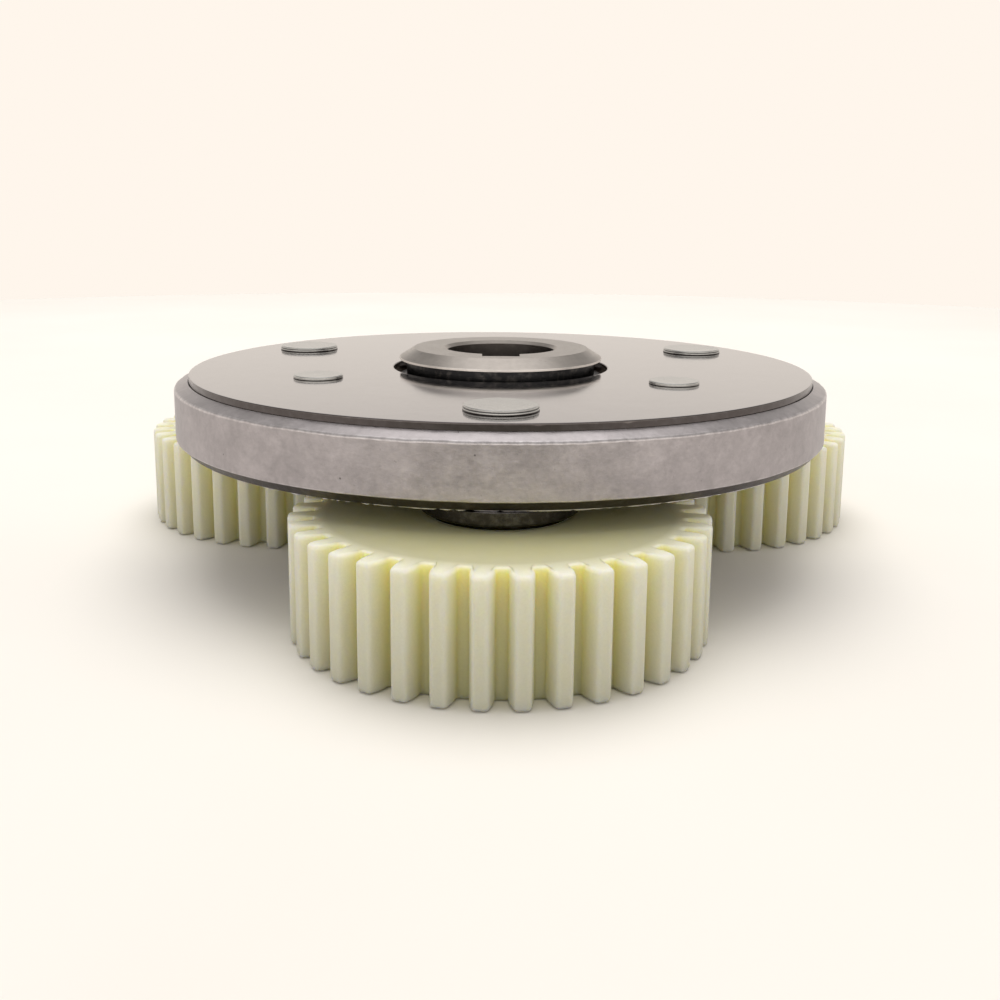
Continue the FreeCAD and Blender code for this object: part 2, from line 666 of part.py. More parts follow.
def clutch_element(i):
    """Roller, plunger and spring of one pocket.  In the pocket's own frame +X runs
    out along the middle line and +Y towards the spring."""
    ang = sheet.pocket_clock + 360.0 * (i - 1) / sheet.roller_count
    a = math.radians(ang)
    ca, sa = math.cos(a), math.sin(a)

    def spot(out, side):
        return (Size.of(out) * ca - Size.of(side) * sa, Size.of(out) * sa + Size.of(side) * ca)

    roller = new_body("clutch_roller_%d" % i)
    e = D.roller_edge
    turn_profile(roller, [
        (0, 0), (D.roller_radius - e, 0), (D.roller_radius, e), (D.roller_radius, D.roller_length - e),
        (D.roller_radius - e, D.roller_length), (0, D.roller_length),
    ])
    x, y = spot(D.roller_reach, -D.roller_side)
    place(roller, turn=ang, x=x, y=y, z=D.roller_low - D.gear_drop)

    # plunger: head against the roller, stem inside the spring; its own Z runs from
    # the roller into the spring hole
    into_hole = Rotation(Vector(ca, sa, 0), Vector(0, 0, -1), Vector(-sa, ca, 0), "ZXY")
    plunger = new_body("roller_plunger_%d" % i)
    turn_profile(plunger, [
        (0, 0), (D.plunger_radius, 0), (D.plunger_radius, D.plunger_head),
        (D.plunger_stem_radius, D.plunger_head), (D.plunger_stem_radius, D.plunger_head + D.plunger_stem),
        (0, D.plunger_head + D.plunger_stem),
    ])
    x, y = spot(D.spring_hole_reach, D.plunger_front)
    plunger.Placement = Placement(Vector(0, 0, 0), into_hole)
    place(plunger, x=x, y=y, z=D.spring_middle - D.gear_drop)

    # coil spring between the plunger head and the bottom of its hole
    length = D.spring_hole_depth - D.plunger_front - D.plunger_head - 2 * D.spring_wire_radius - 0.06
    helix = doc.addObject("Part::Helix", "spring_line_%d" % i)
    helix.setExpression("Pitch", D.spring_pitch.text)
    helix.setExpression("Height", length.text)
    helix.setExpression("Radius", D.spring_mean_radius.text)
    ring_wire = doc.addObject("Part::Circle", "spring_section_%d" % i)
    ring_wire.setExpression("Radius", D.spring_wire_radius.text)
    ring_wire.Placement = Placement(Vector(sheet.spring_mean_radius, 0, 0), Rotation(Vector(1, 0, 0), 90))
    spring = doc.addObject("Part::Sweep", "roller_spring_%d" % i)
    spring.Label = "roller_spring_%d" % i
    spring.Sections = [ring_wire]
    spring.Spine = (helix, ["Edge1"])
    spring.Solid = True
    spring.Frenet = True
    x, y = spot(D.spring_hole_reach, D.plunger_front + D.plunger_head + D.spring_wire_radius + 0.03)
    spring.Placement = Placement(Vector(0, 0, 0), into_hole)
    place(spring, x=x, y=y, z=D.spring_middle - D.gear_drop)
    PARTS.append(spring)


for i in range(1, sheet.roller_count + 1):
    clutch_element(i)

# ---------------------------------------------------------------- check and write
doc.recompute()
bad = [o.Name for o in doc.Objects if "Invalid" in o.State or "Error" in o.State]
if bad:
    raise RuntimeError("not computed: " + ", ".join(bad))
for piece in PARTS:
    if piece.Shape.isNull() or not piece.Shape.isValid():
        raise RuntimeError(piece.Label + " has no valid shape")
names = [p.Label for p in PARTS]
if len(set(names)) != len(names):
    raise RuntimeError("two pieces share a name")
for piece in PARTS:
    piece.Shape.exportStep(os.path.join("parts", piece.Label + ".step"))
    b = piece.Shape.BoundBox
    print("%-24s %d solid(s) %9.2f mm3  z %.2f to %.2f" % (piece.Label, len(piece.Shape.Solids),
                                                         piece.Shape.Volume, b.ZMin, b.ZMax))
print(len(PARTS), "pieces")
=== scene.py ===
import json
import math
import random

import bmesh
import bpy
import numpy as np
from mathutils import Matrix, Vector, noise


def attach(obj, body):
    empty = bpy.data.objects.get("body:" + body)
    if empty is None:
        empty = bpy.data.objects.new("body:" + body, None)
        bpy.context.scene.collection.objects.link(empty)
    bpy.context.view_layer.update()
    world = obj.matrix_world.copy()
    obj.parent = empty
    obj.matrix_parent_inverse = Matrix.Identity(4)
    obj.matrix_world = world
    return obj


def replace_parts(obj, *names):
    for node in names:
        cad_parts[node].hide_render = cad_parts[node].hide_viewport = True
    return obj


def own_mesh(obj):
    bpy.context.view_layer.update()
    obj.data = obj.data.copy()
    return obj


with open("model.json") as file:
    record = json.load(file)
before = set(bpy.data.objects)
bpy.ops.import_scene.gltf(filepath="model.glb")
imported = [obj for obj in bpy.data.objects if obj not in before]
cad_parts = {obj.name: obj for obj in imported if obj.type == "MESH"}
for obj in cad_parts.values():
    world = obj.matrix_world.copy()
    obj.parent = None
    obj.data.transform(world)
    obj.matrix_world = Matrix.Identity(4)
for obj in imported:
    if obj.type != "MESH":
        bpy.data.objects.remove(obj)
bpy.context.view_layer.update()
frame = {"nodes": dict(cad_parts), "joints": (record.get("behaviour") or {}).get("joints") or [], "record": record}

MM = 0.001
DROP = 12.5          # the gears' underside below the row's origin, mm
ORBIT = 27.43
scene = bpy.context.scene
BODIES = frame["record"]["behaviour"]["bodies"]
JOINTS = {j["name"]: j for j in frame["joints"]}


# ------------------------------------------------------------------ mesh tools
def rounded(corners, k=4, closed=True, support=0.05):
    """A profile with its corners rounded: (r, height, radius) each, in mm.  Gives
    (r, height, edge), edge being 1 on the roundings, for wear."""
    out, n = [], len(corners)
    for i, (x, y, rad) in enumerate(corners):
        here = Vector((x, y))
        if rad <= 0 or (not closed and i in (0, n - 1)):
            out.append((x, y, 0.0))
            continue
        a = Vector(corners[i - 1][:2]) - here
        b = Vector(corners[(i + 1) % n][:2]) - here
        la, lb = a.length, b.length
        a.normalize(); b.normalize()
        ang = a.angle(b)
        if ang > math.pi - 0.02:
            out.append((x, y, 0.0))
            continue
        t = min(rad / math.tan(ang / 2), la * 0.45, lb * 0.45)
        rr = t * math.tan(ang / 2)
        c = here + (a + b).normalized() * (rr / math.sin(ang / 2))
        v0, v1 = here + a * t - c, here + b * t - c
        turn = math.atan2(v0.x * v1.y - v0.y * v1.x, v0.dot(v1))
        s = min(support, (la - t) * 0.3)
        if s > 0.004:
            p = here + a * (t + s)
            out.append((p.x, p.y, 0.0))
        for j in range(k + 1):
            q = turn * j / k
            out.append((c.x + v0.x * math.cos(q) - v0.y * math.sin(q),
                        c.y + v0.x * math.sin(q) + v0.y * math.cos(q), 1.0))
        s = min(support, (lb - t) * 0.3)
        if s > 0.004:
            p = here + b * (t + s)
            out.append((p.x, p.y, 0.0))
    return out


def mesh_object(name, verts, faces, floats=None, smooth_deg=32.0):
    me = bpy.data.meshes.new(name)
    me.from_pydata([tuple(v) for v in verts], [], faces)
    me.update()
    for key, vals in (floats or {}).items():
        at = me.attributes.new(key, "FLOAT", "POINT")
        at.data.foreach_set("value", np.asarray(vals, np.float32))
    bm = bmesh.new()
    bm.from_mesh(me)
    bmesh.ops.recalc_face_normals(bm, faces=bm.faces)
    bm.to_mesh(me)
    bm.free()
    me.shade_smooth()
    me.set_sharp_from_angle(angle=math.radians(smooth_deg))
    ob = bpy.data.objects.new(name, me)
    scene.collection.objects.link(ob)
    return ob


def lathe(name, profile, seg, warp=None, centre=(0.0, 0.0), turn=0.0, smooth_deg=32.0, painted_shade=None):
    """Spins a profile of (r, height, edge) about a vertical axis.  A profile that
    starts and ends on the axis is closed by two poles, any other is a closed loop.
    painted_shade(r, height) says how far the surface is darkened there by painted shade, 0 to 1."""
    poles = profile[0][0] < 1e-9 and profile[-1][0] < 1e-9
    rings = profile[1:-1] if poles else profile
    verts, edge, shade, faces = [], [], [], []
    for i, (r, z, e) in enumerate(rings):
        for j in range(seg):
            a = 2 * math.pi * j / seg + turn
            rr, zz = warp(r, z, a, e) if warp else (r, z)
            verts.append((rr * math.cos(a) * MM, rr * math.sin(a) * MM, (zz - DROP) * MM))
            edge.append(e)
            shade.append(painted_shade(r, z) if painted_shade else 0.0)
    m = len(rings)
    for i in range(m if not poles else m - 1):
        i2 = (i + 1) % m
        for j in range(seg):
            j2 = (j + 1) % seg
            faces.append((i * seg + j, i * seg + j2, i2 * seg + j2, i2 * seg + j))
    if poles:
        for k, row in ((0, 0), (-1, m - 1)):
            verts.append((0, 0, (profile[k][1] - DROP) * MM))
            edge.append(0.0)
            shade.append(0.0)
            p = len(verts) - 1
            for j in range(seg):
                faces.append((row * seg + j, row * seg + (j + 1) % seg, p))
    ob = mesh_object(name, verts, faces, {"edge": edge, "painted_shade": shade}, smooth_deg)
    ob.location = (centre[0] * MM, centre[1] * MM, 0.0)
    return ob


def drill(ob, holes, low, high):
    """Cuts plain round holes (x, y, radius) through a piece, in mm."""
    bm = bmesh.new()
    for x, y, r in holes:
        bmesh.ops.create_cone(bm, cap_ends=True, segments=64, radius1=r * MM, radius2=r * MM,
                              depth=(high - low) * MM,
                              matrix=Matrix.Translation((x * MM, y * MM, ((low + high) / 2 - DROP) * MM)))
    me = bpy.data.meshes.new("drill")
    bm.to_mesh(me)
    bm.free()
    tool = bpy.data.objects.new("drill", me)
    scene.collection.objects.link(tool)
    mod = ob.modifiers.new("holes", "BOOLEAN")
    mod.operation, mod.solver, mod.object = "DIFFERENCE", "EXACT", tool
    bpy.context.view_layer.update()
    new = bpy.data.meshes.new_from_object(ob.evaluated_get(bpy.context.evaluated_depsgraph_get()))
    ob.modifiers.clear()
    ob.data = new
    new.shade_smooth()
    new.set_sharp_from_angle(angle=math.radians(32))
    bpy.data.objects.remove(tool)
    return ob


def wave(a, freq, seed):
    """Smooth noise round a circle, about -1 to 1, with no seam."""
    return noise.noise(Vector((math.cos(a) * freq, math.sin(a) * freq, seed * 7.31))) * 1.6


# ------------------------------------------------------------------ materials
def material(name):
    m = bpy.data.materials.new(name)
    m.use_nodes = True
    nt = m.node_tree
    nt.nodes.clear()
    out = nt.nodes.new("ShaderNodeOutputMaterial")
    bsdf = nt.nodes.new("ShaderNodeBsdfPrincipled")
    nt.links.new(bsdf.outputs["BSDF"], out.inputs["Surface"])
    return m, nt, bsdf


def node(nt, kind, inputs=None, **props):
    n = nt.nodes.new(kind)
    for k, v in props.items():
        setattr(n, k, v)
    for k, v in (inputs or {}).items():
        if isinstance(v, bpy.types.NodeSocket):
            nt.links.new(v, n.inputs[k])
        else:
            n.inputs[k].default_value = v
    return n


def math_node(nt, op, a, b=None, clamp=False):
    n = node(nt, "ShaderNodeMath", {0: a} if b is None else {0: a, 1: b}, operation=op)
    n.use_clamp = clamp
    return n.outputs[0]


def ramp(nt, fac, stops, interp="LINEAR"):
    n = node(nt, "ShaderNodeValToRGB", {"Fac": fac})
    cr = n.color_ramp
    cr.interpolation = interp
    while len(cr.elements) < len(stops):
        cr.elements.new(0.5)
    for e, (p, c) in zip(cr.elements, stops):
        e.position = p
        e.color = (*c, 1.0) if len(c) == 3 else c
    return n.outputs["Color"]


def mix(nt, fac, a, b, blend="MIX"):
    n = node(nt, "ShaderNodeMix", data_type="RGBA", blend_type=blend)
    for key, v in (("Factor", fac), ("A", a), ("B", b)):
        s = [i for i in n.inputs if i.name == key and i.type == ("VALUE" if key == "Factor" else "RGBA")][0]
        if isinstance(v, bpy.types.NodeSocket):
            nt.links.new(v, s)
        else:
            s.default_value = v if key == "Factor" or len(v) == 4 else (*v, 1.0)
    return [o for o in n.outputs if o.type == "RGBA"][0]


def coords(nt):
    """Object coordinates in millimetres, their distance from the axis, and the
    vector that runs along a turned surface: slow round the axis, fast across it."""
    tc = node(nt, "ShaderNodeTexCoord")
    mm = node(nt, "ShaderNodeVectorMath", {0: tc.outputs["Object"], 1: (1000.0, 1000.0, 1000.0)}, operation="MULTIPLY")
    sep = node(nt, "ShaderNodeSeparateXYZ", {0: mm.outputs[0]})
    x2 = math_node(nt, "MULTIPLY", sep.outputs[0], sep.outputs[0])
    y2 = math_node(nt, "MULTIPLY", sep.outputs[1], sep.outputs[1])
    r = math_node(nt, "SQRT", math_node(nt, "ADD", x2, y2))
    s = math_node(nt, "ADD", r, sep.outputs[2])
    return mm.outputs[0], sep, r, s


def grain(nt, sep, s, around, across, detail=3.0, rough=0.6, seed=0.0):
    x = math_node(nt, "MULTIPLY", sep.outputs[0], around)
    y = math_node(nt, "MULTIPLY", sep.outputs[1], around)
    z = math_node(nt, "MULTIPLY_ADD", s, across)
    z.node.inputs[2].default_value = seed
    v = node(nt, "ShaderNodeCombineXYZ", {0: x, 1: y, 2: z})
    return node(nt, "ShaderNodeTexNoise", {"Vector": v.outputs[0], "Scale": 1.0, "Detail": detail,
                                           "Roughness": rough}).outputs["Fac"]


def steel(name, base, rough, mottle=0.10, fine=0.08, around=0.5, across=6.0, rough_var=0.08, bump=0.02,
          edge_tint=None, pits=0.0, tint2=None, isotropic=False, seed=1.0, stain=0.0, painted_shade=None, painted_bands=None,
          flecks=False, wear_low=0.38, wear_high=0.6, wear_min=0.25, brushed=False):
    m, nt, bsdf = material(name)
    mm, sep, r, s = coords(nt)
    big = node(nt, "ShaderNodeTexNoise", {"Vector": mm, "Scale": 0.30, "Detail": 5.0, "Roughness": 0.62,
                                          "Distortion": 0.4}).outputs["Fac"]
    mid = node(nt, "ShaderNodeTexNoise", {"Vector": mm, "Scale": 1.3, "Detail": 5.0, "Roughness": 0.65}).outputs["Fac"]
    if isotropic:
        thin = node(nt, "ShaderNodeTexNoise", {"Vector": mm, "Scale": 7.0, "Detail": 4.0, "Roughness": 0.7}).outputs["Fac"]
    else:
        thin = grain(nt, sep, s, around, across, 4.0, 0.7, seed)
    if brushed:                      # long straight marks from the sheet's rolling
        st = node(nt, "ShaderNodeVectorMath", {0: mm, 1: (0.16, 3.2, 0.5)}, operation="MULTIPLY").outputs[0]
        thin = node(nt, "ShaderNodeTexNoise", {"Vector": st, "Scale": 1.0, "Detail": 6.0, "Roughness": 0.72}).outputs["Fac"]
    b = Vector(base)
    lo, hi = tuple(b * (1 - mottle)), tuple(b * (1 + mottle))
    t2 = tint2 or hi
    c = ramp(nt, big, [(0.32, lo), (0.5, tuple(b)), (0.68, tuple(Vector(t2)))])
    g = ramp(nt, thin, [(0.30, (1 - fine,) * 3), (0.70, (1 + 0.0,) * 3)])
    c = mix(nt, 1.0, c, g, "MULTIPLY")
    g = ramp(nt, mid, [(0.35, (1 - fine * 0.8,) * 3), (0.65, (1.0,) * 3)])
    c = mix(nt, 1.0, c, g, "MULTIPLY")
    if stain > 0:
        st = node(nt, "ShaderNodeTexNoise", {"Vector": mm, "Scale": 0.55, "Detail": 7.0, "Roughness": 0.75,
                                             "Distortion": 0.8}).outputs["Fac"]
        k = ramp(nt, st, [(0.56, (0,) * 3), (0.70, (1,) * 3)])
        c = mix(nt, math_node(nt, "MULTIPLY", k, stain), c, tuple(b * 0.62))
    if pits > 0:
        vor = node(nt, "ShaderNodeTexVoronoi", {"Vector": mm, "Scale": 1.1, "Randomness": 1.0}, feature="F1")
        spot = ramp(nt, vor.outputs["Distance"], [(0.0, (1,) * 3), (0.08, (1,) * 3), (0.13, (0,) * 3)])
        keep = ramp(nt, vor.outputs["Color"], [(1.0 - pits, (0,) * 3), (1.0 - pits + 0.01, (1,) * 3)], "CONSTANT")
        c = mix(nt, math_node(nt, "MULTIPLY", spot, keep), c, tuple(b * 0.42))
        sp = node(nt, "ShaderNodeTexNoise", {"Vector": mm, "Scale": 2.6, "Detail": 3.0, "Roughness": 0.7}).outputs["Fac"]
        sp = ramp(nt, sp, [(0.66, (0,) * 3), (0.74, (1,) * 3)])
        c = mix(nt, math_node(nt, "MULTIPLY", sp, min(0.9, 0.2 + pits * 2.5)), c, tuple(b * 0.5))
    if flecks:                       # torn, oily rim: bright and black flecks side by side
        at = node(nt, "ShaderNodeAttribute", attribute_name="edge").outputs["Fac"]
        fl = node(nt, "ShaderNodeTexNoise", {"Vector": mm, "Scale": 1.7, "Detail": 5.0, "Roughness": 0.8}).outputs["Fac"]
        fl = ramp(nt, fl, [(0.54, (0,) * 3), (0.58, (1,) * 3)])
        c = mix(nt, math_node(nt, "MULTIPLY", at, fl), c, (0.05, 0.045, 0.045))
    if edge_tint:
        at = node(nt, "ShaderNodeAttribute", attribute_name="edge").outputs["Fac"]
        wear = ramp(nt, mid, [(wear_low, (wear_min,) * 3), (wear_high, (1,) * 3)])
        c = mix(nt, math_node(nt, "MULTIPLY", at, wear), c, edge_tint)
    if painted_bands:                         # painted light by height and radius: a near-black undercut under the cone, painted shade with grease, a painted highlight on the cone's lower rim, and painted shade down the bore
        zz = sep.outputs[2]
        for low, high, r_low, r_high, colour in painted_bands:
            k = math_node(nt, "MULTIPLY", math_node(nt, "GREATER_THAN", zz, low - DROP),
                          math_node(nt, "LESS_THAN", zz, high - DROP))
            k = math_node(nt, "MULTIPLY", k, math_node(nt, "GREATER_THAN", r, r_low))
            k = math_node(nt, "MULTIPLY", k, math_node(nt, "LESS_THAN", r, r_high))
            fade = ramp(nt, mid, [(0.30, (0.82,) * 3), (0.5, (1.0,) * 3)])
            c = mix(nt, math_node(nt, "MULTIPLY", k, fade), c, colour)
    # painted shade from the lathe's attribute: darkening in gaps, creases and recesses
    if painted_shade:
        at = node(nt, "ShaderNodeAttribute", attribute_name="painted_shade").outputs["Fac"]
        fade = ramp(nt, mid, [(0.32, (0.86,) * 3), (0.55, (1.0,) * 3)])
        c = mix(nt, math_node(nt, "MULTIPLY", at, fade), c, painted_shade)
    nt.links.new(c, bsdf.inputs["Base Color"])
    bsdf.inputs["Metallic"].default_value = 1.0
    rv = node(nt, "ShaderNodeMapRange", {0: thin, 1: 0.3, 2: 0.7, 3: rough - rough_var, 4: rough + rough_var})
    rv2 = node(nt, "ShaderNodeMapRange", {0: big, 1: 0.3, 2: 0.7, 3: -rough_var * 0.5, 4: rough_var * 0.5})
    nt.links.new(math_node(nt, "ADD", rv.outputs[0], rv2.outputs[0], True), bsdf.inputs["Roughness"])
    h = math_node(nt, "MULTIPLY_ADD", mid, 0.5)
    nt.links.new(thin, h.node.inputs[2])
    bp = node(nt, "ShaderNodeBump", {"Height": h, "Strength": 1.0, "Distance": bump * MM})
    nt.links.new(bp.outputs[0], bsdf.inputs["Normal"])
    return m


def nylon(name, seed):
    """Moulded nylon: ivory with a green cast, faint flow mottling and a few grey specks. Painted shade: a deeper, more
    olive tint down in the tooth spaces and on the top face, the top face darker under the disc, and all of it darker
    towards the bottom."""
    m, nt, bsdf = material(name)
    tc = node(nt, "ShaderNodeTexCoord")
    mm = node(nt, "ShaderNodeVectorMath", {0: tc.outputs["Object"], 1: (1000.0, 1000.0, 1000.0)}, operation="MULTIPLY").outputs[0]
    off = node(nt, "ShaderNodeVectorMath", {0: mm, 1: (seed * 31.0, seed * 17.0, 0.0)}, operation="ADD").outputs[0]
    stretch = node(nt, "ShaderNodeVectorMath", {0: off, 1: (1.0, 1.0, 0.22)}, operation="MULTIPLY").outputs[0]
    flow = node(nt, "ShaderNodeTexNoise", {"Vector": stretch, "Scale": 0.45, "Detail": 4.0, "Roughness": 0.6}).outputs["Fac"]
    fine = node(nt, "ShaderNodeTexNoise", {"Vector": off, "Scale": 5.0, "Detail": 4.0, "Roughness": 0.6}).outputs["Fac"]
    groove_shade = node(nt, "ShaderNodeAttribute", attribute_name="groove_shade").outputs["Fac"]
    c = ramp(nt, flow, [(0.32, NYLON_DARK), (0.68, NYLON_LIGHT)])
    # painted shade: an olive tint that deepens down in the tooth spaces and towards the pin on the top face
    c = mix(nt, groove_shade, c, NYLON_GROOVE_SHADE)
    # painted shade: the gear's top face, under the disc, is darkened
    top_face_shade = node(nt, "ShaderNodeAttribute", attribute_name="top_face_shade").outputs["Fac"]
    c = mix(nt, top_face_shade, c, mix(nt, 1.0, c, (0.67, 0.66, 0.565), "MULTIPLY"))
    # painted shade: darker towards the gear's underside, standing in for light that falls from above
    z = node(nt, "ShaderNodeSeparateXYZ", {0: mm}).outputs[2]
    low = node(nt, "ShaderNodeMapRange", {0: z, 1: -12.5, 2: -1.65, 3: 0.0, 4: 1.0}).outputs[0]
    c = mix(nt, 1.0, c, ramp(nt, low, [(0.0, (0.74, 0.74, 0.745)), (0.5, (0.87, 0.87, 0.865)), (0.95, (1.0,) * 3)]), "MULTIPLY")
    c = mix(nt, 1.0, c, ramp(nt, fine, [(0.35, (0.965,) * 3), (0.6, (1.0,) * 3)]), "MULTIPLY")
    vor = node(nt, "ShaderNodeTexVoronoi", {"Vector": off, "Scale": 0.55, "Randomness": 1.0}, feature="F1")
    spot = ramp(nt, vor.outputs["Distance"], [(0.0, (0.35,) * 3), (0.03, (0.30,) * 3), (0.06, (0,) * 3)])
    keep = ramp(nt, vor.outputs["Color"], [(0.62, (0,) * 3), (0.66, (1,) * 3)])
    c = mix(nt, math_node(nt, "MULTIPLY", spot, keep), c, (0.22, 0.21, 0.15))
    nt.links.new(c, bsdf.inputs["Base Color"])
    rr = node(nt, "ShaderNodeMapRange", {0: fine, 1: 0.3, 2: 0.7, 3: 0.40, 4: 0.52})
    nt.links.new(rr.outputs[0], bsdf.inputs["Roughness"])
    bsdf.subsurface_method = "RANDOM_WALK"
    bsdf.inputs["Subsurface Weight"].default_value = 1.0
    bsdf.inputs["Subsurface Radius"].default_value = (1.0, 0.85, 0.45)
    bsdf.inputs["Subsurface Scale"].default_value = 0.0026
    bsdf.inputs["IOR"].default_value = 1.5
    bsdf.inputs["Specular IOR Level"].default_value = 0.4
    bp = node(nt, "ShaderNodeBump", {"Height": fine, "Strength": 1.0, "Distance": 0.012 * MM})
    nt.links.new(bp.outputs[0], bsdf.inputs["Normal"])
    return m


NYLON_DARK = (0.80, 0.80, 0.655)
NYLON_LIGHT = (0.85, 0.85, 0.72)
NYLON_GROOVE_SHADE = (0.88, 0.85, 0.47)

M = {
    "race": steel("race_steel", (0.56, 0.525, 0.53), 0.36, mottle=0.12, fine=0.14, around=1.6, across=3.0,
                  rough_var=0.07, bump=0.014, pits=0.14, stain=0.38, seed=3.0, painted_shade=(0.115, 0.105, 0.10),
                  edge_tint=(0.66, 0.63, 0.635), wear_low=0.40, wear_high=0.62, wear_min=0.18),
    "plate": steel("plate_steel", (0.352, 0.338, 0.346), 0.10, mottle=0.045, fine=0.055, isotropic=True, brushed=True,
                   rough_var=0.03, bump=0.002, pits=0.05, seed=5.0, painted_shade=(0.13, 0.115, 0.11)),
    "under": steel("plate_under_steel", (0.52, 0.50, 0.50), 0.32, mottle=0.06, fine=0.08, isotropic=True,
                   rough_var=0.06, bump=0.008, edge_tint=(0.92, 0.90, 0.88), pits=0.08, seed=6.0, flecks=True),
    # the hub's bands: painted shade with grease in the undercut, a painted highlight on the cone's rim, painted shade
    # in the bore
    "hub": steel("hub_steel", (0.45, 0.415, 0.38), 0.33, mottle=0.05, fine=0.12, around=0.35, across=9.0,
                 rough_var=0.06, bump=0.008, pits=0.04, seed=7.0,
                 painted_bands=[(18.6, 21.06, 10.0, 11.29, (0.032, 0.032, 0.034)), (21.02, 21.27, 11.2, 12.0, (0.80, 0.76, 0.72)),
                       (11.0, 22.0, 0.0, 6.02, (0.17, 0.155, 0.145))]),
    "pin": steel("pin_steel", (0.53, 0.53, 0.515), 0.24, mottle=0.04, fine=0.05, isotropic=True,
                 rough_var=0.05, bump=0.004, pits=0.12, seed=9.0, painted_shade=(0.045, 0.041, 0.038)),
    "bearing": steel("bearing_steel", (0.62, 0.62, 0.62), 0.14, mottle=0.02, fine=0.03, around=0.4, across=12.0,
                     rough_var=0.03, bump=0.003, seed=11.0),
    "shield": steel("shield_steel", (0.55, 0.55, 0.55), 0.25, mottle=0.04, fine=0.06, around=0.5, across=7.0,
                    rough_var=0.04, bump=0.005, seed=12.0),
    "bronze": steel("bronze", (0.115, 0.075, 0.042), 0.45, mottle=0.10, fine=0.12, isotropic=True, rough_var=0.06,
                    bump=0.008, seed=13.0),
    "spring": steel("spring_wire", (0.40, 0.40, 0.42), 0.28, mottle=0.04, fine=0.06, isotropic=True,
                    rough_var=0.04, bump=0.003, seed=14.0),
    "clip": steel("clip_steel", (0.09, 0.09, 0.095), 0.42, mottle=0.10, fine=0.12, isotropic=True,
                  rough_var=0.08, bump=0.006, seed=15.0),
}


def cage_material():
    m, nt, bsdf = material("cage_plastic")
    mm, sep, r, s = coords(nt)
    n = node(nt, "ShaderNodeTexNoise", {"Vector": mm, "Scale": 2.2, "Detail": 5.0}).outputs["Fac"]
    nt.links.new(ramp(nt, n, [(0.3, (0.085, 0.045, 0.025)), (0.7, (0.14, 0.08, 0.045))]), bsdf.inputs["Base Color"])
    rr = node(nt, "ShaderNodeMapRange", {0: n, 1: 0.3, 2: 0.7, 3: 0.38, 4: 0.5})
    nt.links.new(rr.outputs[0], bsdf.inputs["Roughness"])
    return m


M["cage"] = cage_material()


def give(ob, mat):
    ob.data.materials.clear()
    ob.data.materials.append(mat)


# ------------------------------------------------------------------ carrier ring and plates
def pin_spot(i):
    a = math.radians(-90 + 120 * i)
    return ORBIT * math.cos(a), ORBIT * math.sin(a)


def rivet_spot(i):
    a = math.radians(-90 + 56.61 + 120 * i)
    return 21.3 * math.cos(a), 21.3 * math.sin(a)


HOLES = [(*pin_spot(i), 3.23) for i in range(3)] + [(*rivet_spot(i), 1.53) for i in range(3)]
rng = random.Random(11)
NICKS = {key: [(rng.uniform(0, 2 * math.pi), rng.uniform(0.004, 0.018), rng.uniform(0.3, 1.0)) for _ in range(n)]
         for key, n in (("ring_top", 34), ("ring_low", 30), ("under", 80), ("top", 14))}


NICKS["under"] += [(rng.uniform(3.75, 4.65), rng.uniform(0.003, 0.011), rng.uniform(0.6, 1.0)) for _ in range(46)]


def nick(key, a):
    """How deep the nicks on one edge are at an angle, 0 to 1."""
    d = 0.0
    for c, w, depth in NICKS[key]:
        t = abs((a - c + math.pi) % (2 * math.pi) - math.pi) / w
        if t < 1:
            d = max(d, depth * (1 - t * t) ** 2)
    return d


def ring_warp(r, z, a, e):
    if r > 35.2 and z > 18.5:        # edge between the side and the upper bevel
        z += 0.035 * wave(a, 9, 1) + 0.022 * wave(a, 31, 2) + 0.010 * wave(a, 80, 3)
        r -= 0.02 * nick("ring_top", a) * e
    elif r > 34.9 and z < 13.9:      # lower edge of the side
        z += 0.02 * wave(a, 12, 4)
        r -= 0.03 * nick("ring_low", a) * e
    elif r > 34.0 and z > 19.2:      # lip beside the top plate
        r -= 0.015 * (1 + wave(a, 17, 5)) * e
    return r, z


# painted shade: the ring's lower rounding beside the bottom plate and the inside of the lip beside the top plate are
# darkened
ring = lathe("outer_race_ring_detail", rounded([
    (16.5, 13.7, 0.12), (34.24, 13.7, 0.0), (34.24, 12.75, 0.05), (34.62, 12.75, 0.07), (35.49, 13.66, 0.13),
    (35.49, 14.05, 0.0), (35.49, 14.6, 0.0), (35.49, 15.5, 0.0), (35.49, 16.6, 0.0), (35.49, 17.5, 0.0),
    (35.49, 18.1, 0.0), (35.49, 18.78, 0.30), (34.75, 19.133, 0.0), (34.15, 19.42, 0.04), (34.04, 19.42, 0.02),
    (34.04, 18.9, 0.0), (16.5, 18.9, 0.12)]),
    720, ring_warp, painted_shade=lambda r, z: 1.0 if (z < 13.60 and r > 34.2) or (r < 34.1 and z > 18.85 and r > 30) else 0.0)
drill(ring, HOLES, 12.0, 21.0)
give(ring, M["race"])
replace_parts(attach(ring, "carrier"), "outer_race_ring")


def under_warp(r, z, a, e):
    if r > 34.0 and z < 13.0:        # rough sheared rim, standing just below the ring
        r -= 0.17 * nick("under", a) + 0.03 * (1 + wave(a, 45, 6))
        z += (0.03 * max(0.0, wave(a, 26, 7)) + 0.10 * nick("under", a)) * (1 if z < 12.6 else 0)
    return r, z


under = lathe("bottom_cover_plate_detail", rounded([
    (11.97, 12.5, 0.08), (34.2, 12.5, 0.06), (34.2, 13.7, 0.0), (11.97, 13.7, 0.0)]), 720, under_warp)
drill(under, HOLES, 12.0, 21.0)
give(under, M["under"])
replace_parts(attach(under, "carrier"), "bottom_cover_plate")


def top_warp(r, z, a, e):
    if r > 33.7:
        r -= 0.03 * nick("top", a) * e + 0.008 * (1 + wave(a, 23, 8))
    return r, z


